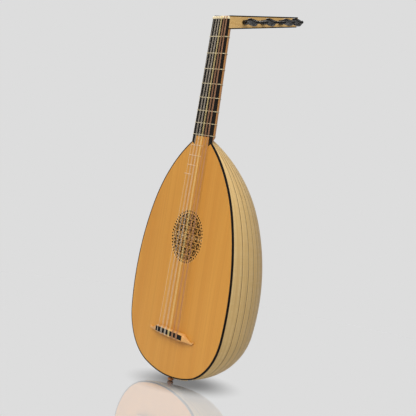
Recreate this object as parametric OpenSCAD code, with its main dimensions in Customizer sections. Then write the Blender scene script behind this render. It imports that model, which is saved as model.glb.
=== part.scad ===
// Six-course Renaissance lute: ribbed bowl, pierced rose, tied frets, bent-back pegbox.
// Millimetres. The soundboard faces -Y, the neck points up +Z, the treble side is -X.

/* [Body outline] */
// Outline radius at the tail
tail_r = 269.5; // [262:0.5:276]
// Turn of the outline along the tail, degrees
tail_turn = 16.2; // [15.8:0.1:16.6]
// Outline radius at the lower corners
corner_r = 114.6; // [111:0.5:118]
// Turn of the outline round a lower corner, degrees
corner_turn = 66; // [65.4:0.1:66.6]
// Outline radius along the flanks
flank_r = 447; // [435:1:460]
// Turn of the outline along a flank, degrees
flank_turn = 28.5; // [28:0.1:29]
// Outline radius at the shoulders
shoulder_r = 284.6; // [278:0.5:291]
// Bowl depth over half the body width
bowl_ratio = 0.966; // [0.9:0.001:1]

/* [Ribs and soundboard] */
// Number of ribs, always odd
rib_count = 25; // [21:2:25]
// Angle from the soundboard to the first rib joint, degrees
edge_rib_a = 10.3; // [9.5:0.1:11]
// Thickness of the ribs
rib_t = 1.8; // [1.6:0.1:2]
// Thickness of the soundboard and of the fingerboard
board_t = 1.8; // [1.6:0.1:2]
// Width of the edge binding on the soundboard
bind_w = 2.5; // [2:0.1:3]
// Depth of the edge binding down the side
bind_d = 3.5; // [3:0.1:4]
// Radius of the carved rose
rose_r = 52.5; // [48:0.5:55]
// Height of the rose centre above the tail
rose_z = 271.5; // [265:0.5:278]

/* [Neck] */
// Half width of the neck where it meets the body
joint_hw = 32.3; // [31:0.1:33]
// Half width of the neck at the nut
nut_hw = 26.5; // [25.5:0.1:27]
// Depth of the neck near the body, fingerboard included
joint_depth = 18.4; // [17.5:0.1:19.5]
// Depth of the neck at the nut, fingerboard included
nut_depth = 16.2; // [15:0.1:17]
// Rise of the neck joint towards the back, over its depth
joint_slope = 0.48; // [0.45:0.005:0.5]
// Half width of the soundboard tongue between the fingerboard points
tongue_hw = 21.5; // [20.5:0.1:23]

/* [Strings and frets] */
// Speaking length of the strings
string_len = 600; // [598:1:602]
// Height of the bridge edge above the tail
bridge_z = 90.4; // [88:0.2:93]
// Distance between the outer courses at the nut
nut_span = 41; // [38:0.5:42]
// Distance between the outer courses at the bridge
bridge_span = 66; // [64:0.5:69]
// Half the gap between the two strings of a course
pair_half = 1.1; // [1:0.1:1.4]
// Height of the strings' underside over the fingerboard at the nut
nut_height = 1.5; // [1.4:0.1:2]
// Height of the string line over the soundboard at the bridge
bridge_string_h = 8.6; // [6:0.1:9]
// Bridge height
bridge_h = 10; // [9.8:0.1:11]
// Shift of the bridge towards the bass side
bridge_shift = 2; // [0:0.5:4]
// Shift of the courses towards the treble side at the bridge
course_shift = 2.4; // [0:0.2:4]
// Gap between a tied fret and the neck it slides on
fret_gap = 0.25; // [0.2:0.01:0.3]

/* [Pegbox and pegs] */
// Length of the pegbox back from the fingerboard face
box_len = 168.5; // [166:0.5:170]
// Slope of the open top of the pegbox
box_top_slope = 0.178; // [0.17:0.001:0.185]
// Slope of the closed back of the pegbox
box_back_slope = 0.214; // [0.21:0.001:0.225]
// Drop of the pegbox back below the nut, at the fingerboard face
box_drop = 20; // [19.5:0.1:20.5]
// Narrowing of each pegbox side over its length
box_taper = 0.041; // [0.035:0.001:0.045]
// Thickness of the pegbox cheeks
cheek_t = 4.2; // [4:0.1:4.4]
// Distance between pegs on one side
peg_pitch = 21.8; // [21.4:0.1:22]
// Distance of the first peg from the fingerboard face
first_peg_y = 36; // [35:0.5:37]
// How far a peg stands out of the pegbox
peg_out = 45; // [43:1:47]
// Radial clearance of a peg in its holes
peg_gap = 0.05; // [0.03:0.01:0.08]

/* [Hidden] */
$fn = 48;
nut_z = bridge_z + string_len;
arcs = [
    [tail_r, tail_turn],
    [corner_r, corner_turn],
    [flank_r, flank_turn],
    [shoulder_r, 60]
];
rib_step = (180 - 2 * edge_rib_a) / (rib_count - 2);
mid_rib = (rib_count + 1) / 2;
button_y = 14.5;
button_len = 9;
button_r = 6;
button_hole_r = 3.05;
flange_r = 4.6;
clasp_t = 1.4;
veneer_t = 2;
edging_t = 2.2;
floor_t = 3;
bridge_d = 13.4;
bridge_hw = 44.6;
string_d = [0.44, 0.48, 0.58, 0.7, 0.82, 0.94];
loop_lift = 0.05;
front_y = -(bridge_h + loop_lift + string_d[5] / 2 * (1 + sin(60)));
peg_turns = [145, 118, 20, 65, 142, 95, 15, 80, 150, 10, 140];
fret_d = [0.82, 0.78, 0.75, 0.72, 0.69, 0.66, 0.63, 0.6];
body_fret_spans = [[-31, 5.5], [-34.5, 5.5], [-35.5, -8], [-41.5, -18]];
bar_zs = [62, 128, 174, 219, 324, 368, 408];
block_foot_z = bar_zs[6] + 5;
bridge_lip = 2;

rib_names = [for (i = [1 : mid_rib]) str("ribs_", i < 10 ? "0" : "", i)];
fret_names = [for (i = [1 : 8]) str("fret_", i)];
course_names = [for (i = [1 : 6]) str("course_", i)];
peg_names = [for (i = [1 : 11]) str("peg_", i < 10 ? "0" : "", i)];

// ---- Outline: tangent arcs from the tail up one side. A heading of 0 runs along +X.

function heading_dir(h) = [sin(h), -cos(h)];
function turn_before(k) = k == 0 ? 0 : turn_before(k - 1) + arcs[k - 1][1];
function arc_start(k) =
    k == 0 ? [0, 0] : arc_centre(k - 1) + arcs[k - 1][0] * heading_dir(turn_before(k));
function arc_centre(k) = arc_start(k) - arcs[k][0] * heading_dir(turn_before(k));

// A station is [arc, heading]; inset is measured square to the outline.
function edge_point(station, inset) =
    arc_centre(station[0]) + (arcs[station[0]][0] - inset) * heading_dir(station[1]);

function arc_at(z) =
    z < arc_start(1)[1] ? 0 : z < arc_start(2)[1] ? 1 : z < arc_start(3)[1] ? 2 : 3;
function half_width(z, inset) =
    let (k = arc_at(z), c = arc_centre(k), r = arcs[k][0] - inset)
    c[0] + sqrt(r * r - (z - c[1]) * (z - c[1]));

shoulder_c = arc_centre(3);
joint_heading = 180 - asin((joint_hw - shoulder_c[0]) / shoulder_r);
joint_z = edge_point([3, joint_heading], 0)[1];

// Heading on the shoulder arc where a joint line at angle a meets the sloping neck joint.
function joint_stop(a, inset) =
    let (m = joint_slope * bowl_ratio * sin(a), r = shoulder_r - inset,
         b = (shoulder_c[1] - joint_z - m * shoulder_c[0]) / r)
    atan(m) + acos(b / sqrt(1 + m * m));

tail_stations = [for (r = [4, 6, 8, 11, 14, 19, 24, 30, 37, 45, 54, 64]) [0, asin(r / tail_r)]];
side_stations = concat(
    [for (i = [0 : 12]) [1, tail_turn + corner_turn * i / 12]],
    [for (i = [1 : 10]) [2, turn_before(2) + flank_turn * i / 10]],
    [for (i = [1 : 5]) [3, turn_before(3) + (joint_heading - 2 - turn_before(3)) * i / 5]]
);
stations = concat(tail_stations, side_stations);

function half_outline(inset) = concat(
    [[0, edge_point([0, 0], inset)[1]]],
    [for (s = stations) edge_point(s, inset)],
    [[half_width(joint_z, inset), joint_z]]
);
function flip(points) = [for (i = [len(points) - 1 : -1 : 0]) [-points[i][0], points[i][1]]];
function outline(inset) = concat(half_outline(inset), flip(half_outline(inset)));

// ---- Bowl: joint k of the ribs lies in a plane through the Z axis.

function rib_angle(k) = k == 0 ? 0 : k == rib_count ? 180 : edge_rib_a + (k - 1) * rib_step;
function bowl_point(station, inset, a) =
    let (e = edge_point(station, inset)) [e[0] * cos(a), e[0] * bowl_ratio * sin(a), e[1]];

// The point on the flat of the edge rib at a given depth y behind the soundboard face.
function edge_rib_point(station, inset, y) =
    let (e = edge_point(station, inset), share = y / (e[0] * bowl_ratio * sin(edge_rib_a)))
    [e[0] * (1 - share * (1 - cos(edge_rib_a))), y, e[1]];

// Moves the part so that its origin is under the middle of its box, at its lowest point.
module at_home() {
    foot_z = button_seat - button_len;
    translate([0, -(front_y + box_len) / 2, -foot_z]) children();
}

// A closed skin over rings of points, each ring listed the same way round.
module loft(rings) {
    n = len(rings[0]);
    count = len(rings);
    points = [for (ring = rings) each ring];
    sides = [for (i = [0 : count - 2]) for (j = [0 : n - 1])
        [i * n + j, i * n + (j + 1) % n, (i + 1) * n + (j + 1) % n, (i + 1) * n + j]];
    halves = [for (q = sides) each [[q[0], q[2], q[1]], [q[0], q[3], q[2]]]];
    caps = [[for (j = [0 : n - 1]) j], [for (j = [n - 1 : -1 : 0]) (count - 1) * n + j]];
    polyhedron(points = points, faces = concat(halves, caps), convexity = 8);
}

// Stations where the edge of a rib nearest the soundboard is clear of the binding and the button hole.
function rib_stations(low_a) =
    let (far = button_y + button_hole_r + 0.3)
    [for (s = stations) let (w = edge_point(s, 0)[0], y = w * bowl_ratio * sin(low_a))
        if (y > bind_d + 0.4 && (y > far || w * abs(cos(low_a)) > button_hole_r + 2)) s];

module inner_rib(k) {
    a = rib_angle(k - 1);
    b = rib_angle(k);
    run = rib_stations(sin(a) < sin(b) ? a : b);
    rings = [for (s = run)
        [bowl_point(s, 0, a), bowl_point(s, 0, b), bowl_point(s, rib_t, b), bowl_point(s, rib_t, a)]];
    last = [
        bowl_point([3, joint_stop(a, 0)], 0, a),
        bowl_point([3, joint_stop(b, 0)], 0, b),
        bowl_point([3, joint_stop(b, rib_t)], rib_t, b),
        bowl_point([3, joint_stop(a, rib_t)], rib_t, a)
    ];
    loft(concat(rings, [last]));
}

// The rib along the soundboard: its upper edge is cut to hold the binding and the soundboard.
bind_side_t = 0.9;
function edge_ring(s, top) = [
    edge_rib_point(s, 0, bind_d),
    bowl_point(top, 0, edge_rib_a),
    bowl_point([s[0], s == top ? s[1] : joint_stop(edge_rib_a, rib_t)], rib_t, edge_rib_a),
    edge_rib_point(s, rib_t, board_t),
    edge_rib_point(s, bind_side_t, board_t)
];
module edge_rib() {
    run = rib_stations(edge_rib_a);
    end = [3, joint_stop(asin(bind_d / bowl_ratio / joint_hw), 0)];
    loft(concat([for (s = run) edge_ring(s, s)], [edge_ring(end, [3, joint_stop(edge_rib_a, 0)])]));
}

module rib_pair(i) {
    color(i % 2 == 0 ? "burlywood" : "wheat") {
        if (i == 1) edge_rib();
        if (i == 1) mirror([1, 0, 0]) edge_rib();
        if (i > 1) inner_rib(i);
        if (i > 1 && i < mid_rib) inner_rib(rib_count + 1 - i);
    }
}

module button_hole() {
    translate([0, button_y, -5]) cylinder(h = 20, r = button_hole_r);
}

// A strip lying on the dished tail, as deep as the curve across it allows.
function dish_z(x, y, inset) =
    let (r = norm([x, y / bowl_ratio]), big_r = tail_r - inset) tail_r - sqrt(big_r * big_r - r * r);
button_seat = dish_z(0, button_y - flange_r, -clasp_t) - 0.02;
function strip_depth(x, hw, from, to) = from + (to - from) * (1 - pow(abs(x) / hw, 2.4)) + 0.6;
module dish_strip(hw, from, to, near, far) {
    rings = [for (x = [-hw : hw / 12 : hw])
        let (y1 = strip_depth(x, hw, from, to), ys = [for (j = [0 : 3]) from + (y1 - from) * j / 3])
        concat(
            [for (y = ys) [x, y, dish_z(x, y, near)]],
            [for (j = [3 : -1 : 0]) [x, ys[j], dish_z(x, ys[j], far)]]
        )];
    loft(rings);
}

module end_lining() {
    color("tan") difference() {
        dish_strip(77.5, board_t + 0.02, 26, rib_t + 4.2, rib_t + 0.12);
        button_hole();
    }
}

module end_clasp() {
    color("wheat") difference() {
        dish_strip(70, bind_d + 0.1, 22, -0.02, -clasp_t);
        button_hole();
    }
}

module end_button() {
    color("peru") translate([0, button_y, button_seat]) mirror([0, 0, 1]) rotate_extrude() polygon([
        [0, -12], [3, -12], [3, 0], [flange_r, 0], [flange_r, 1], [3.6, 2], [3.6, 3], [button_r - 0.8, 4],
        [button_r, 4.6], [button_r, 7.2], [button_r - 1, 8.2], [button_r - 3.5, button_len - 0.2],
        [2, button_len], [0, button_len]
    ]);
}

// ---- Inside the body

module neck_block() {
    inset = rib_t + 0.35;
    function ring(stops) = concat(
        [edge_rib_point([3, stops[0]], inset, board_t)],
        [for (k = [1 : rib_count - 1]) bowl_point([3, stops[k]], inset, rib_angle(k))],
        [let (p = edge_rib_point([3, stops[0]], inset, board_t)) [-p[0], p[1], p[2]]]
    );
    foot = acos((shoulder_c[1] - block_foot_z) / (shoulder_r - inset));
    levels = [foot, stations[len(stations) - 2][1], stations[len(stations) - 1][1]];
    top = [for (k = [0 : rib_count - 1])
        joint_stop(k == 0 ? asin(board_t / bowl_ratio / joint_hw) : rib_angle(k), inset) - 0.02];
    color("tan") loft(concat(
        [for (level = levels) ring([for (k = [0 : rib_count - 1]) level])],
        [ring(top)]
    ));
}

module soundboard_bars() {
    color("moccasin") {
        for (z = bar_zs) {
            hw = half_width(z, rib_t) * 0.965 - 4;
            translate([-hw, board_t, z - 2]) cube([2 * hw, 15, 4]);
        }
        translate([-rose_r - 12, board_t, rose_z - 1.5]) cube([2 * rose_r + 24, 9, 3]);
    }
}

// ---- Soundboard

function hex_dots(pitch, limit) = [for (i = [-8 : 8]) for (j = [-8 : 8])
    let (p = [pitch * (i + j / 2), pitch * j * sqrt(3) / 2]) if (norm(p) < limit) p];

module rose_2d() {
    for (p = hex_dots(10.4, rose_r - 11)) translate(p) circle(r = 3.7, $fn = 6);
    for (i = [0 : 43]) rotate(360 * i / 44) translate([rose_r - 3, 0]) circle(r = 1.6, $fn = 4);
}

function fingerboard_2d() = [
    [-nut_hw, nut_z], [nut_hw, nut_z], [joint_hw, joint_z], [tongue_hw + 0.6, joint_z - 5.9],
    [tongue_hw, joint_z + 11.6], [-tongue_hw, joint_z + 11.6],
    [-tongue_hw - 0.6, joint_z - 5.9], [-joint_hw, joint_z]
];
function tongue_2d() = [
    [-tongue_hw, joint_z - 20], [tongue_hw, joint_z - 20],
    [tongue_hw, joint_z + 11.6], [-tongue_hw, joint_z + 11.6]
];

// Extrudes a shape drawn in x and z from the face at y = from, to y = to.
module slab(from, to) {
    translate([0, to, 0]) rotate([90, 0, 0]) linear_extrude(to - from) children();
}

module board_2d(inset) {
    difference() {
        union() {
            polygon(outline(inset));
            polygon(tongue_2d());
        }
        polygon(fingerboard_2d());
        translate([0, rose_z]) rose_2d();
    }
}

module soundboard() {
    half = board_t / 2;
    color("goldenrod") {
        slab(0, half) board_2d(bind_w);
        slab(half, board_t) board_2d(bind_side_t);
    }
}

module edge_binding() {
    run = concat([[0, 0]], stations, [[3, joint_heading]]);
    function section(s) =
        let (e = [for (inset = [0, bind_w, bind_side_t]) edge_point(s, inset)], half = board_t / 2)
        [
            [e[0][0], 0, e[0][1]], [e[1][0], 0, e[1][1]], [e[1][0], half, e[1][1]],
            [e[2][0], half, e[2][1]], [e[2][0], board_t, e[2][1]], [e[0][0], bind_d, e[0][1]]
        ];
    left = [for (i = [len(run) - 1 : -1 : 1]) [for (p = section(run[i])) [-p[0], p[1], p[2]]]];
    right = [for (s = run) section(s)];
    color("black") loft(concat(left, right));
}

module body_frets() {
    color("saddlebrown") for (i = [0 : 3]) {
        z = nut_z - string_len * (1 - pow(2, -(i + 9) / 12));
        span = body_fret_spans[i];
        translate([span[0], -0.9, z - 0.8]) cube([span[1] - span[0], 0.9, 1.6]);
    }
}

// ---- Bridge

// Each end of the bridge thins to a tail along its lower edge, which turns up at the tip.
wing_len = 30.5;
function wing_w(t) = t < 0.72
    ? bridge_d - 0.6 - (bridge_d - 4) * t / 0.72
    : 3.4 + 3.2 * pow((t - 0.72) / 0.28, 1.5);
function wing_h(t) = 3.6 + (bridge_h - 4.9) * pow(1 - t, 2);
module wing() {
    foot = bridge_z - bridge_d;
    loft([for (t = [0 : 0.04 : 1])
        let (x = bridge_hw - 0.5 + (wing_len + 0.5) * t, w = wing_w(t), h = wing_h(t))
        [[x, 0, foot], [x, 0, foot + w], [x, -h, foot + w], [x, -h, foot]]]);
}

module bridge() {
    lip = bridge_lip;
    color("goldenrod") translate([bridge_shift, 0, 0]) {
        difference() {
            translate([-bridge_hw, -bridge_h, bridge_z - bridge_d])
                cube([2 * bridge_hw, bridge_h, bridge_d]);
            translate([-bridge_hw - 1, -bridge_h - 1, bridge_z - bridge_d + lip])
                cube([2 * bridge_hw + 2, 2, bridge_d - 2 * lip]);
        }
        for (s = [0, 1]) mirror([s, 0, 0]) wing();
    }
}

module bridge_facing() {
    lip = bridge_lip;
    color("black") translate([bridge_shift - bridge_hw, -bridge_h, bridge_z - bridge_d + lip])
        cube([2 * bridge_hw, 1, bridge_d - 2 * lip]);
}

// ---- Neck

function neck_share(z) = (z - joint_z) / (nut_z - joint_z);
function neck_hw(z) = joint_hw + (nut_hw - joint_hw) * neck_share(z);
function plain_depth(z) = joint_depth + (nut_depth - joint_depth) * neck_share(z);

// The heel blends the neck's back into the end of the bowl.
bowl_end = edge_point([3, joint_stop(90, 0)], 0);
heel_top = joint_z + 26;
heel_back = bowl_end[1];
heel_rise = bowl_end[0] * bowl_ratio - plain_depth(heel_back);
function heel(z) = z > heel_top ? 0 : heel_rise * pow((heel_top - z) / (heel_top - heel_back), 2);
function neck_depth(z) = plain_depth(z) + heel(z);
function neck_point(z, a, gap) = [
    (neck_hw(z) + gap) * cos(a),
    board_t + (neck_depth(z) - board_t + gap) * sin(a),
    z
];
function box_top(y) = nut_z + 6.3 + box_top_slope * y;
function box_back(y) = nut_z - box_drop + box_back_slope * y;
function box_mid(y) = (box_top(y) + box_back(y)) / 2;

module neck() {
    angles = [for (k = [1 : rib_count - 1]) rib_angle(k)];
    front = board_t;
    function ring(z) = concat(
        [[neck_hw(z), front, z]],
        [for (a = angles) neck_point(z, a, 0)],
        [[-neck_hw(z), front, z]]
    );
    joint_front_z = joint_z + joint_slope * front;
    foot = concat(
        [[neck_hw(joint_z), front, joint_front_z]],
        [for (a = angles) bowl_point([3, joint_stop(a, 0)], 0, a)],
        [[-neck_hw(joint_z), front, joint_front_z]]
    );
    head = [for (p = ring(nut_z - box_drop)) [p[0], p[1], box_back(p[1]) - 0.02]];
    color("peru") loft(concat(
        [[for (p = foot) p + [0, 0, 0.02]]],
        [for (z = [heel_back + 2.5, heel_back + 8, heel_top, (heel_top + nut_z) / 2]) ring(z)],
        [head]
    ));
}

module fingerboard() {
    color("black") slab(0, board_t) polygon(fingerboard_2d());
}

module nut() {
    color("ivory") translate([-nut_hw, 0, 0]) rotate([90, 0, 90]) linear_extrude(2 * nut_hw)
        polygon([[-nut_height, nut_z], [board_t, nut_z], [board_t, nut_z + 3.2],
                 [0, nut_z + 4.6], [-nut_height + 0.4, nut_z + 4.8], [-nut_height, nut_z + 4.4]]);
}

// A closed gut loop round the fingerboard and the neck, wound twice side by side.
module fret(n) {
    z = nut_z - string_len * (1 - pow(2, -n / 12));
    d = fret_d[n - 1];
    gap = fret_gap + (n == 8 ? 0.1 : 0);
    color("khaki") for (side = [-1, 1]) translate([0, 0, side * (d / 2 + 0.02)]) gut_loop(z, d, gap);
}
module gut_loop(z, d, gap) {
    out = gap + d / 2;
    front_hw = neck_hw(z);
    path = concat(
        [[-front_hw, -out], [0, -out], [front_hw, -out], [front_hw + out, 0]],
        [for (a = [0 : 15 : 180]) [for (i = [0, 1]) neck_point(z, a, out)[i]]],
        [[-front_hw - out, 0]]
    );
    n = len(path);
    rings = [for (i = [0 : n - 1])
        let (along = path[(i + 1) % n] - path[(i + n - 1) % n], side = [along[1], -along[0]] / norm(along))
        [for (t = [0 : 60 : 300])
            let (c = path[i] + side * d / 2 * cos(t))
            [c[0], c[1], z + d / 2 * sin(t)]]];
    closed_loft(rings);
}
module closed_loft(rings) {
    n = len(rings[0]);
    count = len(rings);
    points = [for (ring = rings) each ring];
    quads = [for (i = [0 : count - 1]) for (j = [0 : n - 1])
        let (a = i * n, b = (i + 1) % count * n, k = (j + 1) % n) [a + j, a + k, b + k, b + j]];
    polyhedron(points = points, faces = [for (q = quads) each [[q[0], q[1], q[2]], [q[0], q[2], q[3]]]],
               convexity = 8);
}

// ---- Pegbox: peg i has its head on the bass side when i is odd.

function peg_y(i) = first_peg_y + (i - 1) * peg_pitch / 2;
function peg_side(i) = i % 2 == 1 ? 1 : -1;
function box_hw(y) = nut_hw - box_taper * (y - board_t);
shaft_big = 4.2;
shaft_taper = 1 / 60;

// Radius of a peg's tapered shaft at a place along its axis, 0 being the centre plane.
function shaft_r(i, x) = shaft_big - (box_hw(peg_y(i)) - x) * shaft_taper;

module peg_bore(i) {
    reach = box_hw(peg_y(i)) + 1;
    translate([-reach, 0, 0]) rotate([0, 90, 0])
        cylinder(h = 2 * reach, r1 = shaft_r(i, -reach) + peg_gap, r2 = shaft_r(i, reach) + peg_gap);
}
module at_peg(i) {
    translate([0, peg_y(i), box_mid(peg_y(i))]) mirror([peg_side(i) < 0 ? 1 : 0, 0, 0]) children();
}

module cheek_blank(side, lift_back, lift_top, t) {
    y0 = board_t + 0.2;
    mirror([side < 0 ? 1 : 0, 0, 0]) translate([nut_hw, y0, 0])
        rotate([0, 0, atan(box_taper)]) translate([-t, -y0, 0])
            rotate([90, 0, 90]) linear_extrude(t) polygon([
                [y0, box_back(y0) + lift_back], [box_len, box_back(box_len) + lift_back],
                [box_len, box_top(box_len) + lift_top], [y0, box_top(y0) + lift_top]
            ]);
}
module cheek(side) {
    color("burlywood") difference() {
        cheek_blank(side, veneer_t, -edging_t, cheek_t);
        for (i = [1 : 11]) at_peg(i) peg_bore(i);
    }
}
module cheek_treble() { cheek(-1); }
module cheek_bass() { cheek(1); }

module cheek_edging() {
    y0 = board_t + 0.2;
    color("black") for (side = [-1, 1]) mirror([side < 0 ? 1 : 0, 0, 0]) translate([nut_hw, y0, 0])
        rotate([0, 0, atan(box_taper)]) translate([-cheek_t, -y0, 0])
            rotate([90, 0, 90]) linear_extrude(cheek_t) polygon([
                [y0, box_top(y0) - edging_t], [box_len, box_top(box_len) - edging_t],
                [box_len, box_top(box_len)], [y0, box_top(y0)]
            ]);
}

// A plate parallel to the back of the pegbox, from y0 to y1, inset from the outer sides.
module box_plate(y0, y1, inset, low, high) {
    points = [[-box_hw(y0) + inset, y0], [box_hw(y0) - inset, y0],
              [box_hw(y1) - inset, y1], [-box_hw(y1) + inset, y1]];
    intersection() {
        linear_extrude(2 * nut_z) polygon(points);
        translate([-nut_hw, 0, 0]) rotate([90, 0, 90]) linear_extrude(2 * nut_hw) polygon([
            [y0, low[0]], [y1, low[1]], [y1, high[1]], [y0, high[0]]
        ]);
    }
}
block_y = 14;
end_y = box_len - 8;
function back_line(y, lift) = box_back(y) + lift;

module pegbox_back() {
    y0 = board_t + 0.02;
    color("black") box_plate(y0, box_len, 0.05, [back_line(y0, 0), back_line(box_len, 0)],
        [back_line(y0, veneer_t - 0.02), back_line(box_len, veneer_t - 0.02)]);
}
module pegbox_floor() {
    color("burlywood") box_plate(block_y, end_y, cheek_t + 0.05,
        [back_line(block_y, veneer_t), back_line(end_y, veneer_t)],
        [back_line(block_y, veneer_t + floor_t), back_line(end_y, veneer_t + floor_t)]);
}
module pegbox_block() {
    y0 = board_t + 0.02;
    color("burlywood") box_plate(y0, block_y - 0.02, cheek_t + 0.05,
        [back_line(y0, veneer_t), back_line(block_y, veneer_t)], [nut_z + 3.2, nut_z + 2]);
}
module pegbox_end() {
    color("burlywood") box_plate(end_y + 0.02, box_len, cheek_t + 0.05,
        [back_line(end_y, veneer_t), back_line(box_len, veneer_t)],
        [box_top(end_y) - 3, box_top(box_len) - 3]);
}

// Turned in one piece: tapered shaft, collar, and a head cut flat on two sides with a pip on top.
module peg(i) {
    hw = box_hw(peg_y(i));
    tip = hw + peg_out;
    flat = 3.4;
    color("black") at_peg(i) rotate([peg_turns[i - 1], 0, 0]) difference() {
        rotate([0, 90, 0]) rotate_extrude() polygon([
            [0, 0.3 - hw], [shaft_r(i, 0.3 - hw), 0.3 - hw], [shaft_r(i, hw + 5.5), hw + 5.5],
            [4.8, hw + 7], [4.8, hw + 9], [3.7, hw + 11], [3.7, hw + 13], [5.8, hw + 16],
            [8.4, hw + 20], [9.6, hw + 24.5], [9.4, hw + 29], [7.6, hw + 34],
            [4.8, hw + 38], [2.4, hw + 40], [3, hw + 41.6], [3, hw + 43], [1.5, tip], [0, tip]
        ]);
        for (s = [0, 1]) mirror([0, 0, s])
            translate([hw + 12.4, -20, flat]) cube([peg_out, 40, 20]);
    }
}

// ---- Strings: one straight run from bridge to nut, one from the nut down to its peg.

// Peg of each string, from the treble side: the outer strings take the nearest pegs.
string_pegs = [2, 4, 6, 8, 10, 11, 9, 7, 5, 3, 1];
function course_of(s) = s == 0 ? 1 : floor((s - 1) / 2) + 2;
function course_x(span, course) = span * ((course - 1) / 5 - 0.5);
function pair_shift(s) = s == 0 ? 0 : (s % 2 == 1 ? -1 : 1) * pair_half;

module string(s) {
    course = course_of(s);
    d = string_d[course - 1];
    r = d / 2;
    peg_i = string_pegs[s];
    y = peg_y(peg_i);
    over = shaft_big + 0.3 + r;
    nut_x = course_x(nut_span, course) + pair_shift(s);
    bridge_x = course_x(bridge_span, course) - course_shift + pair_shift(s) * 1.4;
    top_y = -bridge_h - r - loop_lift;
    peg_x = nut_x * (box_hw(y) - cheek_t - 3) / (nut_hw - cheek_t);
    path = [
        [bridge_x, top_y, bridge_z - bridge_d + 1],
        [bridge_x, top_y, bridge_z + r],
        [bridge_x, -bridge_string_h, bridge_z + r + 0.4],
        [nut_x, -nut_height - r - 0.05, nut_z + 5 + r],
        [peg_x, y, box_mid(y) + over]
    ];
    string_tube(path, r);
}

// Six-sided tube; each joint is cut square to the bend. All bends lie close to the YZ plane.
module string_tube(path, r) {
    n = len(path);
    rings = [for (i = [0 : n - 1])
        let (
            before = path[max(i, 1)] - path[max(i, 1) - 1],
            after = path[min(i, n - 2) + 1] - path[min(i, n - 2)],
            mean = before / norm(before) + after / norm(after),
            out = cross(mean, [1, 0, 0]) / norm(cross(mean, [1, 0, 0])),
            stretch = 2 / norm(mean)
        )
        [for (t = [0 : 60 : 300]) path[i] + [r * cos(t), 0, 0] + out * r * sin(t) * stretch]];
    loft(rings);
}

module course(c) {
    shades = ["ivory", "ivory", "ivory", "khaki", "peru", "peru"];
    color(shades[c - 1]) {
        if (c == 1) string(0);
        if (c > 1) string(2 * c - 3);
        if (c > 1) string(2 * c - 2);
    }
}

for (i = [1 : mid_rib]) at_home() rib_pair(i);
for (i = [1 : 8]) at_home() fret(i);
for (i = [1 : 6]) at_home() course(i);
for (i = [1 : 11]) at_home() peg(i);
at_home() soundboard();
at_home() soundboard_bars();
at_home() edge_binding();
at_home() neck_block();
at_home() end_lining();
at_home() end_clasp();
at_home() end_button();
at_home() neck();
at_home() fingerboard();
at_home() nut();
at_home() body_frets();
at_home() bridge();
at_home() bridge_facing();
at_home() cheek_treble();
at_home() cheek_bass();
at_home() pegbox_floor();
at_home() pegbox_block();
at_home() pegbox_end();
at_home() pegbox_back();
at_home() cheek_edging();
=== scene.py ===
import math

import bmesh
import bpy
import numpy as np
from mathutils import Matrix, Vector


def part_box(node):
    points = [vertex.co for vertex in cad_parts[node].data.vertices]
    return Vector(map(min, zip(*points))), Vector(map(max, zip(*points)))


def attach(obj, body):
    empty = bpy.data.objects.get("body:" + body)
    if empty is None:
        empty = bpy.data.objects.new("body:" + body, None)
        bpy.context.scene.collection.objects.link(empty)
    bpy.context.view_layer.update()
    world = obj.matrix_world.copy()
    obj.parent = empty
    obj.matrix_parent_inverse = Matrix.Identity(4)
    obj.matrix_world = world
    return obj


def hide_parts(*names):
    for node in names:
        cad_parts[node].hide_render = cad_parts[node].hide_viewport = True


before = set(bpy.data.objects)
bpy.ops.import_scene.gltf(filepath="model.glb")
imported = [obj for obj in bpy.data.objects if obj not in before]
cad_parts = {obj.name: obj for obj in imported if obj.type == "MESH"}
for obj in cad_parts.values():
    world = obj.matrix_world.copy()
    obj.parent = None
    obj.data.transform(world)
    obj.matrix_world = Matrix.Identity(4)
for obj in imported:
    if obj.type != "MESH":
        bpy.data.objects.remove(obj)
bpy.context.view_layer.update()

ROOT = "instrument"

# ---- Driving dimensions, in millimetres, in the CAD's own part coordinates:
# the soundboard's face is y = 0, the tail is z = 0, and the treble side is -x.

ARCS = [(269.5, 16.2), (114.6, 66.0), (447.0, 28.5), (284.6, 60.0)]
BOWL = 0.966
RIBS = 25
EDGE_A = 10.3
RIB_T = 1.8
BOARD_T = 1.8
BIND_W, BIND_D, BIND_SIDE = 2.5, 3.5, 0.9
ROSE_R, ROSE_Z = 52.5, 271.5
JOINT_HW, NUT_HW = 32.3, 26.5
JOINT_SLOPE = 0.48
TONGUE_HW = 21.5
JOINT_DEPTH, NUT_DEPTH = 18.4, 16.2
PAIR = 1.1
BRIDGE_Z, STRING_LEN = 90.4, 600.0
NUT_Z = BRIDGE_Z + STRING_LEN
BRIDGE_H, BRIDGE_D, BRIDGE_HW, BRIDGE_LIP = 10.0, 13.4, 44.6, 2.0
BRIDGE_BACK = BRIDGE_Z - BRIDGE_D
BRIDGE_SHIFT, COURSE_SHIFT, WING_LEN = 2.0, -2.4, 30.5
NUT_SPREAD, BRIDGE_SPREAD = 41.0, 66.0  # from the first course to the sixth
STRING_Y = -8.6
CHEEK_T = 4.2
PEG_FIRST, PEG_PITCH = 36.0, 10.9
STRING_D = [0.44, 0.48, 0.58, 0.7, 0.82, 0.94]
FRET_D = [0.82, 0.78, 0.75, 0.72, 0.69, 0.66, 0.63, 0.6]
PEG_TURNS = [145, 118, 20, 65, 142, 95, 15, 80, 150, 10, 140]
STRING_PEGS = [2, 4, 6, 8, 10, 11, 9, 7, 5, 3, 1]

MM = 0.001
HOME_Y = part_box("fingerboard")[0].y
HOME_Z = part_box("nut")[0].z - NUT_Z * MM


def home(points):
    """Part coordinates in millimetres to the row frame in metres."""
    out = np.array(points, float) * MM
    out[..., 1] += HOME_Y
    out[..., 2] += HOME_Z
    return out


# ---- Outline and bowl

def sin_d(a):
    return math.sin(math.radians(a))


def cos_d(a):
    return math.cos(math.radians(a))


def heading(h):
    return np.array([sin_d(h), -cos_d(h)])


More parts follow.
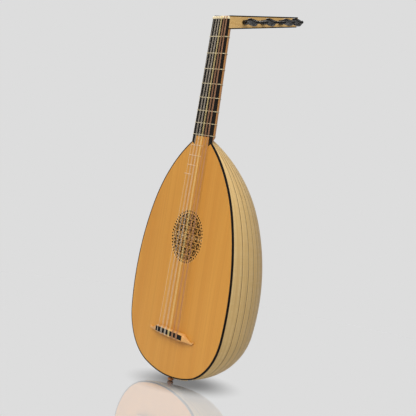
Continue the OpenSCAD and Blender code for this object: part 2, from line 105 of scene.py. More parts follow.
TURN = [0.0]
for _, turn in ARCS:
    TURN.append(TURN[-1] + turn)
CENTRES = []
start = np.zeros(2)
for k, (radius, turn) in enumerate(ARCS):
    CENTRES.append(start - radius * heading(TURN[k]))
    start = CENTRES[k] + radius * heading(TURN[k + 1])


def edge(k, h, inset=0.0):
    """The outline's point [x, z] on arc k at heading h, inset square to the outline."""
    return CENTRES[k] + (ARCS[k][0] - inset) * heading(h)


SHOULDER_R = ARCS[3][0]
JOINT_H = 180 - math.degrees(math.asin((JOINT_HW - CENTRES[3][0]) / SHOULDER_R))
JOINT_Z = edge(3, JOINT_H)[1]


def joint_stop(a, inset=0.0):
    """Heading on the shoulder arc where a joint line at angle a meets the sloping neck joint."""
    m = JOINT_SLOPE * BOWL * sin_d(a)
    b = (CENTRES[3][1] - JOINT_Z - m * CENTRES[3][0]) / (SHOULDER_R - inset)
    return math.degrees(math.atan(m) + math.acos(b / math.sqrt(1 + m * m)))


def rib_angle(k):
    return 0 if k == 0 else 180 if k == RIBS else EDGE_A + (k - 1) * (180 - 2 * EDGE_A) / (RIBS - 2)


def bowl_point(k, h, inset, a):
    x, z = edge(k, h, inset)
    return np.array([x * cos_d(a), x * BOWL * sin_d(a), z])


def edge_rib_point(k, h, inset, y):
    """A point of the flat of the edge rib, y behind the soundboard's face."""
    x, z = edge(k, h, inset)
    share = y / (x * BOWL * sin_d(EDGE_A))
    return np.array([x * (1 - share * (1 - cos_d(EDGE_A))), y, z])


def fine_stations(step):
    """Stations (arc, heading) about a step apart, from 2 mm beside the tail's middle to the neck joint."""
    found = []
    ends = [TURN[1], TURN[2], TURN[3], JOINT_H]
    for k, (radius, _) in enumerate(ARCS):
        begin = math.degrees(2.0 / radius) if k == 0 else TURN[k]
        count = max(2, round(math.radians(ends[k] - begin) * radius / step))
        found += [(k, begin + (ends[k] - begin) * i / count) for i in range(count)]
    return found + [(3, ends[3])]


# ---- Mesh helpers

def flip_x(points):
    return np.array(points, float) * [-1, 1, 1]


def loft_faces(rows, n, loop, base):
    """Quads over rows of n points; a loop joins its last row to its first, other lofts get two end faces."""
    faces = []
    for i in range(rows if loop else rows - 1):
        a, b = base + i * n, base + (i + 1) % rows * n
        for j in range(n):
            k = (j + 1) % n
            faces.append((a + j, a + k, b + k, b + j))
    if not loop:
        faces.append(tuple(base + j for j in reversed(range(n))))
        faces.append(tuple(base + (rows - 1) * n + j for j in range(n)))
    return faces


class Shape:
    """Collects lofts, with a grain coordinate for each point: across, along and a number of its own."""

    def __init__(self):
        self.points, self.faces, self.grain, self.tone = [], [], [], []
        self.count = 0

    def loft(self, rings, grain=None, tone=None, loop=False):
        rings = np.array(rings, float)
        rows, n = rings.shape[:2]
        self.faces += loft_faces(rows, n, loop, self.count)
        self.points.append(rings.reshape(-1, 3))
        self.grain.append(np.zeros((rows * n, 3)) if grain is None else np.reshape(grain, (-1, 3)))
        self.tone.append(np.zeros(rows * n) if tone is None else np.reshape(tone, -1))
        self.count += rows * n

    def raw(self, points, faces, tone=None):
        points = np.array(points, float)
        self.faces += [tuple(self.count + i for i in f) for f in faces]
        self.points.append(points)
        self.grain.append(points)
        self.tone.append(np.zeros(len(points)) if tone is None else tone)
        self.count += len(points)


def add_object(name, data):
    ob = bpy.data.objects.new(name, data)
    bpy.context.scene.collection.objects.link(ob)
    return ob


def finish_mesh(me, smooth, from_cad=False):
    """Turns the faces outwards and smooths over edges flatter than an angle; joins a CAD mesh up first."""
    bm = bmesh.new()
    bm.from_mesh(me)
    if from_cad:
        bmesh.ops.remove_doubles(bm, verts=bm.verts, dist=1e-6)
        bmesh.ops.dissolve_limit(bm, angle_limit=math.radians(0.6), verts=bm.verts, edges=bm.edges)
    bmesh.ops.recalc_face_normals(bm, faces=bm.faces)
    bm.to_mesh(me)
    bm.free()
    if from_cad:
        for layer in ("custom_normal", "sharp_face", "sharp_edge"):
            if layer in me.attributes:
                me.attributes.remove(me.attributes[layer])
    if smooth:
        me.shade_smooth()
        me.set_sharp_from_angle(angle=math.radians(smooth))


def piece(name, shape, material, slot, replaces=(), body=ROOT, smooth=40):
    me = bpy.data.meshes.new(name)
    me.from_pydata(home(np.concatenate(shape.points)), [], shape.faces)
    for kind, layer, key, values in (("FLOAT_VECTOR", "grain", "vector", shape.grain),
                                     ("FLOAT", "tone", "value", shape.tone)):
        data = np.concatenate(values).astype(np.float32).reshape(-1)
        me.attributes.new(layer, kind, "POINT").data.foreach_set(key, data)
    ob = add_object(name, me)
    me.materials.append(material)
    finish_mesh(me, smooth)
    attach(ob, body)
    if replaces:
        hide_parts(*replaces)
    return ob


def lofted_piece(name, rings, *looks, **options):
    shape = Shape()
    shape.loft(rings)
    piece(name, shape, *looks, **options)


def bevel(ob, width, segments=2):
    m = ob.modifiers.new("bevel", "BEVEL")
    m.width = width * MM
    m.segments = segments
    m.limit_method = "ANGLE"
    m.angle_limit = math.radians(35)
    m.harden_normals = True


def refined(name, node, material, width):
    """A copy of a CAD node's mesh with its flat faces joined up and its corners eased."""
    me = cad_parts[node].data.copy()
    me.name = name
    me.materials.clear()
    me.materials.append(material)
    ob = add_object(name, me)
    finish_mesh(me, 30, from_cad=True)
    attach(ob, ROOT)
    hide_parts(node)
    bevel(ob, width)


def board_piece(name, loops, material, slot, node, *bevels):
    """A plate as thick as the soundboard; the first loop of [x, z] is its outline, the others its holes."""
    bm = bmesh.new()
    edges = []
    for loop in loops:
        verts = [bm.verts.new((p[0], 0, p[1])) for p in loop]
        edges += [bm.edges.new((verts[i], verts[(i + 1) % len(verts)])) for i in range(len(verts))]
    bmesh.ops.triangle_fill(bm, use_beauty=True, use_dissolve=False, edges=edges)
    bm.verts.index_update()
    flat = np.array([v.co[:] for v in bm.verts])
    tris = [tuple(v.index for v in f.verts) for f in bm.faces]
    rim = [tuple(v.index for v in e.verts) for e in bm.edges if len(e.link_faces) == 1]
    bm.free()
    n = len(flat)
    front, back = flat.copy(), flat.copy()
    front[:, 1], back[:, 1] = 0, BOARD_T
    faces = tris + [tuple(n + i for i in reversed(f)) for f in tris]
    faces += [(a, b, n + b, n + a) for a, b in rim]
    shape = Shape()
    shape.raw(np.concatenate([front, back]), faces)
    bevel(piece(name, shape, material, slot, [node], smooth=0), *bevels)


def tube(shape, path, radius, sides, seed, loop=False):
    """A tube whose rings are square to its path and carried along it without twisting."""
    path = np.array(path, float)
    n = len(path)
    radius = np.broadcast_to(radius, n)
    along = np.roll(path, -1, 0) - np.roll(path, 1, 0) if loop else np.gradient(path, axis=0)
    along /= np.linalg.norm(along, axis=1)[:, None]
    side = np.cross(along[0], [0.0, 0.3, 1.0])
    angles = np.arange(sides)[:, None] * 2 * math.pi / sides
    rings = []
    for i in range(n):
        side = side - along[i] * side.dot(along[i])
        side /= np.linalg.norm(side)
        up = np.cross(along[i], side)
        rings.append(path[i] + radius[i] * (np.cos(angles) * side + np.sin(angles) * up))
    run = np.concatenate([[0], np.cumsum(np.linalg.norm(np.diff(path, axis=0), axis=1))])
    shape.loft(rings, [[[j / sides, q, seed] for j in range(sides)] for q in run], loop=loop)


def smooth_path(points, steps):
    """A Catmull-Rom curve through the points."""
    p = np.array(points, float)
    p = np.concatenate([[2 * p[0] - p[1]], p, [2 * p[-1] - p[-2]]])
    out = []
    for i in range(1, len(p) - 2):
        a, b, c, d = p[i - 1 : i + 3]
        for t in np.arange(steps) / steps:
            out.append(0.5 * (2 * b + (c - a) * t + (2 * a - 5 * b + 4 * c - d) * t * t
                              + (3 * b - a - 3 * c + d) * t ** 3))
    return np.array(out + [p[-2]])


def smoothstep(t):
    t = np.clip(t, 0, 1)
    return t * t * (3 - 2 * t)


# ---- Materials

class Nodes:
    """Builds one material's nodes."""

    def __init__(self, name):
        self.m = bpy.data.materials.new(name)
        self.m.use_nodes = True
        self.tree = self.m.node_tree
        self.tree.nodes.clear()
        self.shader = self.new("BsdfPrincipled")
        self.out = self.new("OutputMaterial", Surface=self.shader.outputs[0])

    def feed(self, socket, value):
        """Links a socket to another node's output, or sets its constant."""
        if isinstance(value, bpy.types.NodeSocket):
            self.tree.links.new(value, socket)
        elif value is not None:
            socket.default_value = value

    def put(self, node, **values):
        for key, value in values.items():
            self.feed(node.inputs[key.replace("_", " ")], value)

    def new(self, kind, **values):
        node = self.tree.nodes.new("ShaderNode" + kind)
        self.put(node, **values)
        return node

    def attribute(self, name, output):
        n = self.new("Attribute")
        n.attribute_name = name
        return n.outputs[output]

    def object_mm(self, scale):
        """Object coordinates in millimetres, scaled along each axis."""
        return self.scaled(self.new("TexCoord").outputs["Object"], [s / MM for s in scale])

    def grain_mm(self, scale):
        return self.scaled(self.attribute("grain", "Vector"), scale)

    def tone(self):
        return self.attribute("tone", "Fac")

    def scaled(self, vector, scale):
        return self.new("Mapping", Vector=vector, Scale=scale).outputs["Vector"]

    def noise(self, vector, detail, rough=0.55, distortion=0.0):
        n = self.new("TexNoise", Vector=vector, Scale=1.0, Detail=detail)
        self.put(n, Roughness=rough, Distortion=distortion)
        return n.outputs["Fac"]

    def range(self, value, low, high, to_low=0.0, to_high=1.0):
        n = self.new("MapRange", Value=value, From_Min=low, From_Max=high, To_Min=to_low, To_Max=to_high)
        return n.outputs["Result"]

    def math(self, operation, a, b=None):
        n = self.new("Math")
        n.operation = operation
        self.feed(n.inputs[0], a)
        self.feed(n.inputs[1], b)
        return n.outputs[0]

    def mix(self, fac, a, b):
        n = self.new("Mix", Factor=fac)
        n.data_type = "RGBA"
        sockets = [s for s in n.inputs if s.type == "RGBA"]
        for socket, v in zip(sockets, (a, b)):
            self.feed(socket, (*v, 1) if isinstance(v, tuple) else v)
        return [s for s in n.outputs if s.type == "RGBA"][0]

    def bump(self, height, strength, distance):
        n = self.new("Bump", Strength=strength, Distance=distance * MM, Height=height)
        return n.outputs["Normal"]

    def done(self, colour, roughness, normal=None, **constants):
        self.put(self.shader, Base_Color=colour, Roughness=roughness, Normal=normal, **constants)
        return self.m


def times(colour, *factors):
    """The colour times one factor, or times one for each channel."""
    return tuple(c * k for c, k in zip(colour, factors * (3 // len(factors))))


def spruce(name, light, dark, across, along, rim=0.0, coat=0.25):
    """Quartered spruce: fine dark lines along the grain, broad soft bands and short cross flecks, and with
    rim, painted shade from the tone.
    """
    n = Nodes(name)

    def grain(fine, run, rough):
        x, y, z = [a * fine for a in across]
        return n.noise(n.object_mm((x, y, z + along * run)), 2, rough)

    bands = grain(0.035, 0.0012, 0.55)
    lines = grain(0.9, 0.0035, 0.6)
    fibre = grain(4, 0.08, 0.6)
    fleck = n.noise(n.object_mm((0.28, 0.28, 0.9)), 3, 0.6)
    late = n.range(lines, 0.46, 0.68)
    colour = n.mix(n.range(bands, 0.3, 0.7), light, times(light, 0.9, 0.81, 0.66))
    colour = n.mix(n.math("MULTIPLY", late, 0.62), colour, dark)
    colour = n.mix(n.range(fibre, 0.35, 0.75, 0, 0.22), colour, times(light, 0.72))
    colour = n.mix(n.range(fleck, 0.55, 0.75, 0, 0.14), colour, times(light, 1.2))
    # rim sets painted shade: the tone darkens the rose's deepest carving, its back face and its openings'
    # walls towards near black.
    if rim:
        colour = n.mix(n.math("MULTIPLY", n.tone(), rim), colour, times(dark, 0.09, 0.1, 0.3))
    height = n.math("ADD", n.math("MULTIPLY", late, 0.5), fibre)
    normal = n.bump(height, 0.25, 0.05)
    rough = n.range(fibre, 0.3, 0.7, 0.38, 0.5)
    return n.done(colour, rough, normal, Coat_Weight=coat, Coat_Roughness=0.22, Specular_IOR_Level=0.4)


def maple(name, light, dark, use_grain, axis=(1, 1, 1), figure=0.35, seam_and_shade=None, coat=0.4, shine=0.3):
    """Varnished maple: faint long streaks, small pores and a soft rippled cross figure.
    axis is the frequency across the grain for each coordinate, near 0 along it."""
    n = Nodes(name)
    source = n.grain_mm if use_grain else n.object_mm
    streak = n.noise(source([a * 0.22 for a in axis]), 3)
    fine = n.noise(source([a * 1.9 for a in axis]), 3, 0.6)
    cross = [0.02 if a > 0.3 else 0.13 for a in axis]
    ripple = n.noise(source(cross), 2, 0.5, 1.2)
    blotch = n.noise(source((0.03, 0.008, 1.0) if use_grain else (0.012, 0.012, 0.012)), 2)
    colour = n.mix(n.range(streak, 0.35, 0.68), light, dark)
    colour = n.mix(n.range(fine, 0.5, 0.78, 0, 0.35), colour, times(dark, 0.62))
    colour = n.mix(n.range(ripple, 0.42, 0.62, 0, figure), colour, times(light, 0.84, 0.76, 0.6))
    colour = n.mix(n.range(blotch, 0.35, 0.7, 0, 0.4), colour, times(light, 0.92, 0.84, 0.68))
    # Darker by the tone towards the seam colour: dark glue lines at the rib joints, and painted shade on the
    # bowl's inner face.
    if seam_and_shade:
        colour = n.mix(n.range(n.tone(), 0.15, 0.9, 0, 0.9), colour, seam_and_shade)
    normal = n.bump(n.math("ADD", fine, n.math("MULTIPLY", ripple, 0.8)), 0.22, 0.06)
    rough = n.range(ripple, 0.35, 0.65, 0.3, 0.42)
    return n.done(colour, rough, normal, Coat_Weight=coat, Coat_Roughness=0.14, Specular_IOR_Level=shine)


def dark_wood(name, base, vein, axis, gloss, shine, coat=0.0):
    """Ebony or another close-grained wood: barely lighter veins and fine open pores."""
    n = Nodes(name)
    veins = n.noise(n.object_mm([a * 0.5 for a in axis]), 4, 0.6)
    pores = n.noise(n.object_mm([a * 3.5 for a in axis]), 2, 0.5)
    colour = n.mix(n.range(veins, 0.5, 0.75, 0, 0.8), base, vein)
    pore = n.range(pores, 0.62, 0.72)
    colour = n.mix(n.math("MULTIPLY", pore, 0.6), colour, times(base, 0.4))
    normal = n.bump(n.math("SUBTRACT", 1.0, pore), 0.12, 0.03)
    rough = n.range(veins, 0.3, 0.75, gloss - 0.04, gloss + 0.1)
    return n.done(colour, rough, normal, Coat_Weight=coat, Coat_Roughness=0.2, Specular_IOR_Level=shine)


def strand(name, base, other, pitch, gloss, bump, lay, coat=0.0):
    """String or gut: a fine helical lay along its length and slow changes of tone."""
    n = Nodes(name)
    xyz = n.new("SeparateXYZ", Vector=n.attribute("grain", "Vector"))
    turns = n.math("ADD", n.math("DIVIDE", xyz.outputs["Y"], pitch), xyz.outputs["X"])
    wave = n.math("ABSOLUTE", n.math("SINE", n.math("MULTIPLY", turns, math.pi)))
    slow = n.noise(n.grain_mm((1.5, 0.06, 1)), 3)
    colour = n.mix(n.range(slow, 0.35, 0.65), base, other)
    # Darker between the turns of the lay: painted shade in the grooves.
    colour = n.mix(n.math("MULTIPLY", n.math("SUBTRACT", 1.0, wave), lay), colour, times(base, 0.45))
    normal = n.bump(wave, bump, 0.08)
    rough = n.range(slow, 0.3, 0.7, gloss, gloss + 0.1)
    return n.done(colour, rough, normal, Coat_Weight=coat, Specular_IOR_Level=0.35)


def bone(name):
    n = Nodes(name)
    cloud = n.noise(n.object_mm((0.12, 0.12, 0.12)), 3)
    pores = n.noise(n.object_mm((0.6, 3, 3)), 2)
    colour = n.mix(n.range(cloud, 0.3, 0.7), (0.76, 0.62, 0.35), (0.84, 0.72, 0.47))
    colour = n.mix(n.range(pores, 0.6, 0.72, 0, 0.4), colour, (0.6, 0.45, 0.22))
    normal = n.bump(pores, 0.1, 0.03)
    return n.done(colour, n.range(cloud, 0.3, 0.7, 0.28, 0.38), normal, Coat_Weight=0.3, Coat_Roughness=0.15)


ALONG_X, ALONG_Z = (0.02, 1, 1), (1, 1, 0.02)  # frequencies across the grain, for wood that runs along x or z
M_BOARD = spruce("spruce_board", (0.64, 0.3, 0.045), (0.5, 0.21, 0.025), (1, 0.3, 0), 1, 0.97, 0.08)
M_ROSE = spruce("spruce_carving", (0.72, 0.37, 0.085), (0.58, 0.27, 0.05), (1, 0.3, 0), 1, 0.985, 0.04)
M_BARS = spruce("spruce_bars", (0.72, 0.52, 0.27), (0.5, 0.31, 0.13), ALONG_X, 0)
M_RIBS = maple("rib_maple", (0.68, 0.485, 0.225), (0.56, 0.37, 0.15), True, (1.0, 0.02, 1.0), 0.3,
               seam_and_shade=(0.06, 0.033, 0.016), coat=0.0, shine=0.12)
M_CLASP = maple("clasp_maple", (0.73, 0.54, 0.28), (0.66, 0.46, 0.21), False, ALONG_X)
M_BOX = maple("pegbox_maple", (0.66, 0.43, 0.17), (0.56, 0.34, 0.12), False, (1, 0.02, 1), 0.2)
M_NECK = maple("neck_wood", (0.55, 0.26, 0.075), (0.42, 0.18, 0.05), False, ALONG_Z, 0.3)
M_BRIDGE = maple("bridge_wood", (0.66, 0.36, 0.12), (0.55, 0.27, 0.08), False, ALONG_X, 0.15, coat=0.25)
M_EBONY = dark_wood("ebony_board", (0.008, 0.007, 0.006), (0.022, 0.016, 0.011), ALONG_Z, 0.36, 0.12)
M_FACING = dark_wood("ebony_facing", (0.006, 0.005, 0.005), (0.014, 0.011, 0.009), ALONG_X, 0.34, 0.12)
M_PEG = dark_wood("ebony_peg", (0.003, 0.0027, 0.0027), (0.006, 0.005, 0.005), ALONG_X, 0.2, 0.22)
M_BIND = dark_wood("black_binding", (0.004, 0.004, 0.004), (0.009, 0.008, 0.007), (0.3, 0.3, 0.3), 0.45, 0.07)
M_BUTTON = dark_wood("button_wood", (0.5, 0.19, 0.06), (0.6, 0.26, 0.09), (1, 1, 0.1), 0.3, 0.45, 0.3)
M_FRET_WOOD = dark_wood("fret_wood", (0.7, 0.43, 0.2), (0.78, 0.52, 0.28), (0.05, 1, 1), 0.4, 0.45)
M_BONE = bone("bone")
M_GUT = strand("fret_gut", (0.58, 0.48, 0.28), (0.66, 0.57, 0.37), 1.6, 0.4, 0.3, 0.35, 0.1)
M_PLAIN = strand("plain_string", (0.58, 0.49, 0.37), (0.66, 0.57, 0.45), 2.4, 0.45, 0.02, 0.05)
M_YELLOW = strand("gut_string", (0.74, 0.56, 0.24), (0.8, 0.63, 0.3), 1.4, 0.4, 0.1, 0.15)
M_WOUND = strand("wound_string", (0.36, 0.17, 0.085), (0.44, 0.23, 0.12), 0.16, 0.45, 0.2, 0.2)

# ---- Bowl: each rib is a bent strip between two joint lines, with a scraped hollow at each joint

ACROSS = [0.0, 0.5, 0.75]
GROOVE = [0.2, 0.12, 0.0]


def side_line(k, h, inset, i):
    """The point of joint line i, which for the edge rib's upper edge is the binding's lower edge."""
    if i in (0, RIBS):
        p = edge_rib_point(k, h, inset, BIND_D)
        return p if i == 0 else flip_x(p)
    return bowl_point(k, h, inset, rib_angle(i))


def end_heading(i):
    if i in (0, RIBS):
        return joint_stop(math.degrees(math.asin(BIND_D / BOWL / JOINT_HW)))
    return joint_stop(rib_angle(i))


BUTTON_Y = 14.5


def rib(shape, i):
    a, b = i - 1, i
    low = 1 if i in (1, RIBS) else (a if sin_d(rib_angle(a)) < sin_d(rib_angle(b)) else b)
    low_a = rib_angle(low)
    last = (end_heading(a), end_heading(b))
    rings, grain, tone = [], [], []
    run, before = 0.0, None
    for k, h in fine_stations(5.0):
        w = edge(k, h)[0]
        y = w * BOWL * abs(sin_d(low_a))
        if y < BIND_D + 0.4 or (y < BUTTON_Y + 3.4 and w * abs(cos_d(low_a)) < 5.1):
            continue  # hidden by the binding, or in the button's hole
        share = (h - TURN[3]) / (JOINT_H - TURN[3]) if k == 3 else 0
        ha, hb = (TURN[3] + share * (e - TURN[3]) if k == 3 else h for e in last)
        pa, pb = side_line(k, ha, 0, a), side_line(k, hb, 0, b)
        ia, ib = side_line(k, ha, RIB_T, a), side_line(k, hb, RIB_T, b)
        width = np.linalg.norm(pb - pa)
        cuts = [min(d, width * 0.12 * j) for j, d in enumerate(ACROSS)]
        fr = [c / width for c in cuts] + [0.3, 0.5, 0.7] + [1 - c / width for c in reversed(cuts)]
        dip = [0 if i == 1 else g for g in GROOVE] + [0, 0, 0] + [0 if i == RIBS else g for g in GROOVE[::-1]]
        inwards = (ia - pa) / np.linalg.norm(ia - pa)
        ring = [pa + (pb - pa) * f + inwards * d for f, d in zip(fr, dip)]
        ring += [ib, ia]
        middle = (pa + pb) / 2
        run += 0 if before is None else np.linalg.norm(middle - before)
        before = middle
        rings.append(ring)
        grain.append([[(f - 0.5) * width, run, i * 3.7] for f in fr + [1, 0]])
        # Tone 1 at the joints marks the dark glue line; 0.4 on the inner face is painted shade inside the
        # bowl.
        tone.append([1.0, 1.0, 0, 0, 0, 0, 0, 1.0, 1.0, 0.4, 0.4])
    shape.loft(rings, grain, tone)


for i in range(1, (RIBS + 1) // 2 + 1):
    shape = Shape()
    rib(shape, i)
    if i < (RIBS + 1) // 2:
        rib(shape, RIBS + 1 - i)
    piece(f"bowl_ribs_{i:02d}", shape, M_RIBS, "rib_maple", [f"ribs_{i:02d}"], smooth=30)


# ---- Tail: clasp strip, button

def dish_z(x, y, inset):
    r = math.hypot(x, y / BOWL)
    return ARCS[0][0] - math.sqrt((ARCS[0][0] - inset) ** 2 - r * r)


CLASP_T, CLASP_HW = 1.4, 70.0


def clasp():
    """A strip over the ribs' ends, highest in the middle, with rounded edges."""
    curve = ((0, 0.1), (0.12, 0.6), (0.45, 0.92), (1, 1))
    rings = []
    for x in np.linspace(-CLASP_HW, CLASP_HW, 71):
        low = BIND_D + 0.1
        high = low + (22 - low) * (1 - (abs(x) / CLASP_HW) ** 2.4) + 0.6
        span = high - low
        rim = min(1.1, span * 0.3)
        section = [(low + rim * q, CLASP_T * lift) for q, lift in curve]
        section += [(low + span * t, CLASP_T) for t in (0.35, 0.65)]
        section += [(high - rim * q, CLASP_T * lift) for q, lift in reversed(curve)]
        section += [(high, 0.02), (low, 0.02)]
        rings.append([[x, y, dish_z(x, y, -lift)] for y, lift in section])
    lofted_piece("tail_clasp", rings, M_CLASP, "rib_maple", ["end_clasp"])


clasp()


def end_button():
    seat = dish_z(0, BUTTON_Y - 4.6, -CLASP_T) - 0.02
    profile = [(3.0, -10), (3.0, -0.3), (4.5, 0.05), (4.6, 0.7), (4.1, 1.3), (3.5, 2.0), (3.5, 2.9),
               (4.4, 3.6), (5.7, 4.2), (6.0, 5.0), (6.0, 6.9), (5.5, 7.9), (4.2, 8.55), (2.6, 8.85),
               (2.3, 8.6), (1.9, 8.55), (1.5, 8.9), (0.6, 8.98), (0.0, 9.0)]
    rings = []
    for r, h in smooth_path(profile, 4):
        r = max(r, 0.01)
        rings.append([[r * cos_d(a), BUTTON_Y - r * sin_d(a), seat - h] for a in np.arange(48) * 7.5])
    shape = Shape()
    shape.loft(rings, rings)
    piece("strap_button", shape, M_BUTTON, "button_wood", ["end_button"])


end_button()

# ---- Soundboard with its rose, and the binding

POINT_X, POINT_Z = TONGUE_HW + 0.6, JOINT_Z - 5.9  # the fingerboard's points, either side of the tongue
TONGUE_Z = JOINT_Z + 11.6
FINGERBOARD = [(-NUT_HW, NUT_Z), (NUT_HW, NUT_Z), (JOINT_HW, JOINT_Z), (POINT_X, POINT_Z),
               (TONGUE_HW, TONGUE_Z), (-TONGUE_HW, TONGUE_Z), (-POINT_X, POINT_Z), (-JOINT_HW, JOINT_Z)]


def board_outline(inset):
    """The right-hand outline from the tail to the fingerboard's point, closed by its mirror image."""
    slope = (JOINT_Z - POINT_Z) / (JOINT_HW - POINT_X)
    right = [np.array([0.0, edge(0, 0, inset)[1]])]
    for k, h in fine_stations(4.0):
        p = edge(k, h, inset)
        if p[1] > JOINT_Z - (JOINT_HW - p[0]) * slope - 0.4:
            break
        right.append(p)
    q = edge(3, h, inset)
    right.append(np.array([q[0] + 0.2, JOINT_Z - (JOINT_HW - q[0] - 0.2) * slope]))
    right += [np.array([POINT_X, POINT_Z]), np.array([TONGUE_HW, TONGUE_Z])]
    left = [p * [-1, 1] for p in reversed(right[1:])]
    return right + left


ROSE_HOLE = [(ROSE_R * cos_d(a), ROSE_Z + ROSE_R * sin_d(a)) for a in np.arange(0, 360, 2)]
board_piece("soundboard_plate", [board_outline(BIND_W), ROSE_HOLE], M_BOARD, "spruce_top", "soundboard", 0.12)

# The rose's pattern is drawn for a radius of 50: its straps' spacing and half width, then the radii of its
# border: the ring, where the circle of openings starts, their middle, and where the rim starts.
ROSE_H, STRAP_W = 13.0, 0.52
RING_R, CELLS_FROM, CELLS_R, RIM_FROM = 44.0, 44.75, 46.85, 48.6
ROSE_SCALE = ROSE_R / 50


def rose_fields(u, v):
    """How far inside the rose's wood the points are, and how high its carved face is there (0 or less)."""
    u, v = u / ROSE_SCALE, v / ROSE_SCALE
    r = np.hypot(u, v)
    spread = [math.radians(a) for a in (90, 30, 150)]
    s = [u * math.cos(t) + v * math.sin(t) for t in spread]
    d = [np.abs(q - (np.round(q / ROSE_H - 0.5) + 0.5) * ROSE_H) for q in s]
    inside = np.maximum.reduce([STRAP_W - q for q in d])
    top = np.full(u.shape, -9.0)
    for k in range(3):
        dive = smoothstep(1.35 - d[k - 1] / (STRAP_W * 1.5))
        level = -0.12 - 0.3 * (d[k] / STRAP_W) ** 2 - 0.55 * dive
        top = np.where(d[k] < STRAP_W + 0.45, np.maximum(top, level), top)
    # Small wheels of six spokes fill the hexagons, except the ring of openings round the middle one.
    a = ROSE_H / (math.sqrt(3) / 2)
    row = np.round(v / ROSE_H)
    best = np.full(u.shape, 1e9)
    cu, cv = np.zeros(u.shape), np.zeros(u.shape)
    for shift in (-1, 0, 1):
        rv = row + shift
        off = np.where(np.mod(rv, 2) > 0.5, 0.5, 0.0)
        ru = (np.round(u / a - off) + off) * a
        dist = np.hypot(u - ru, v - rv * ROSE_H)
        near = dist < best
        best = np.where(near, dist, best)
        cu, cv = np.where(near, ru, cu), np.where(near, rv * ROSE_H, cv)
    centre_r = np.hypot(cu, cv)
    open_cell = (centre_r > 5) & (centre_r < a * 1.2)
    du, dv = u - cu, v - cv
    spokes = np.minimum.reduce([np.abs(du * math.sin(t) - dv * math.cos(t)) for t in spread])
    wheel = np.maximum(0.32 - spokes, 1.0 - best)
    ring = 0.38 - np.abs(best - 3.9)
    wheel_top = np.where(best < 1.75, -0.1 - 0.1 * best ** 2 / 3, -0.62 - 0.2 * (spokes / 0.62) ** 2)
    wheel_top = np.where(open_cell, -0.55, wheel_top)
    wheel = np.where(open_cell, np.where(best > 3.4, np.maximum(0.5 - spokes, ring), ring), wheel)
    top = np.where(wheel > -0.35, np.maximum(top, wheel_top), top)
    inside = np.maximum(inside, wheel)
    # Border: a plain ring, a circle of small pointed openings, and the rim.
    rim = 0.55 - np.abs(r - RING_R)
    inside = np.where(r < RING_R, np.maximum(inside, rim), 1.0)
    top = np.where(rim > -0.2, np.maximum(top, -0.08 - 0.25 * ((r - RING_R) / 0.55) ** 2), top)
    theta = np.arctan2(v, u)
    cell = 2 * math.pi / 52
    off = (theta / cell - np.round(theta / cell)) * cell * r
    width = 1.95 - 0.1 * (r - 45.2)
    drop = 1 - ((r - CELLS_R) / 2.2) ** 2 - (off / width) ** 2
    inside = np.where(r > CELLS_FROM, np.minimum(1.0, -drop), inside)
    top = np.where(r > CELLS_FROM, -0.06 - 0.35 * smoothstep((drop + 0.9) / 0.9), top)
    groove = np.exp(-((r - 49.55) / 0.3) ** 2)
    top = np.where(r > RIM_FROM, -0.28 * groove, top)
    inside = np.minimum(inside, (49.98 - r) * 2)
    return inside, np.clip(top, -1.0, 0.0)


def rose():
    step = 0.4
    half = math.ceil(ROSE_R / step) + 1
    grid = np.arange(-half, half + 1) * step
    u, v = np.meshgrid(grid, grid, indexing="ij")
    f = rose_fields(u, v)[0]
    f = np.where(np.abs(f) < 0.02, np.where(f < 0, -0.02, 0.02), f)
    points, lookup, faces, walls = [], {}, [], []

    def node(i, j):
        key = (i, j)
        if key not in lookup:
            lookup[key] = len(points)
            points.append((grid[i], grid[j]))
        return lookup[key]

    def crossing(i, j, k, l):
        key = (i, j, k, l) if (i, j) < (k, l) else (k, l, i, j)
        if key not in lookup:
            i, j, k, l = key
            t = f[i, j] / (f[i, j] - f[k, l])
            lookup[key] = len(points)
            points.append((grid[i] + (grid[k] - grid[i]) * t, grid[j] + (grid[l] - grid[j]) * t))
        return lookup[key]

    wood = f > 0
    some = wood[:-1, :-1] | wood[1:, :-1] | wood[1:, 1:] | wood[:-1, 1:]
    for i, j in zip(*np.nonzero(some)):
        corners = [(i, j), (i + 1, j), (i + 1, j + 1), (i, j + 1)]
        loop = []
        for c in range(4):
            a, b = corners[c], corners[(c + 1) % 4]
            if wood[a]:
                loop.append((node(*a), False))
            if wood[a] != wood[b]:
                loop.append((crossing(*a, *b), bool(wood[a])))
        faces.append(tuple(p for p, _ in loop))
        for c in range(len(loop)):
            if loop[c][1]:
                walls.append((loop[c][0], loop[(c + 1) % len(loop)][0]))
    flat = np.array(points)
    x, z = flat[:, 0], flat[:, 1]
    carve = rose_fields(x, z)[1]
    n = len(flat)
    front = np.stack([x, -carve, z + ROSE_Z], 1)
    back = np.stack([x, np.full(n, BOARD_T), z + ROSE_Z], 1)
    shape = Shape()
    # The tone is painted shade: darker where the carving is cut deepest, and full on the back face.
    shape.raw(np.concatenate([front, back]), faces + [tuple(n + p for p in reversed(q)) for q in faces],
              np.concatenate([np.clip(-carve - 0.35, 0, 1), np.ones(n)]))
    cut = sorted({p for w in walls for p in w})
    place = {p: q for q, p in enumerate(cut)}
    m = len(cut)
    # The openings' walls get full tone: painted shade in the holes.
    shape.raw(np.concatenate([front[cut], back[cut]]),
              [(place[b], place[a], m + place[a], m + place[b]) for a, b in walls], np.ones(2 * m))
    piece("rose_carving", shape, M_ROSE, "spruce_top", smooth=38)


rose()


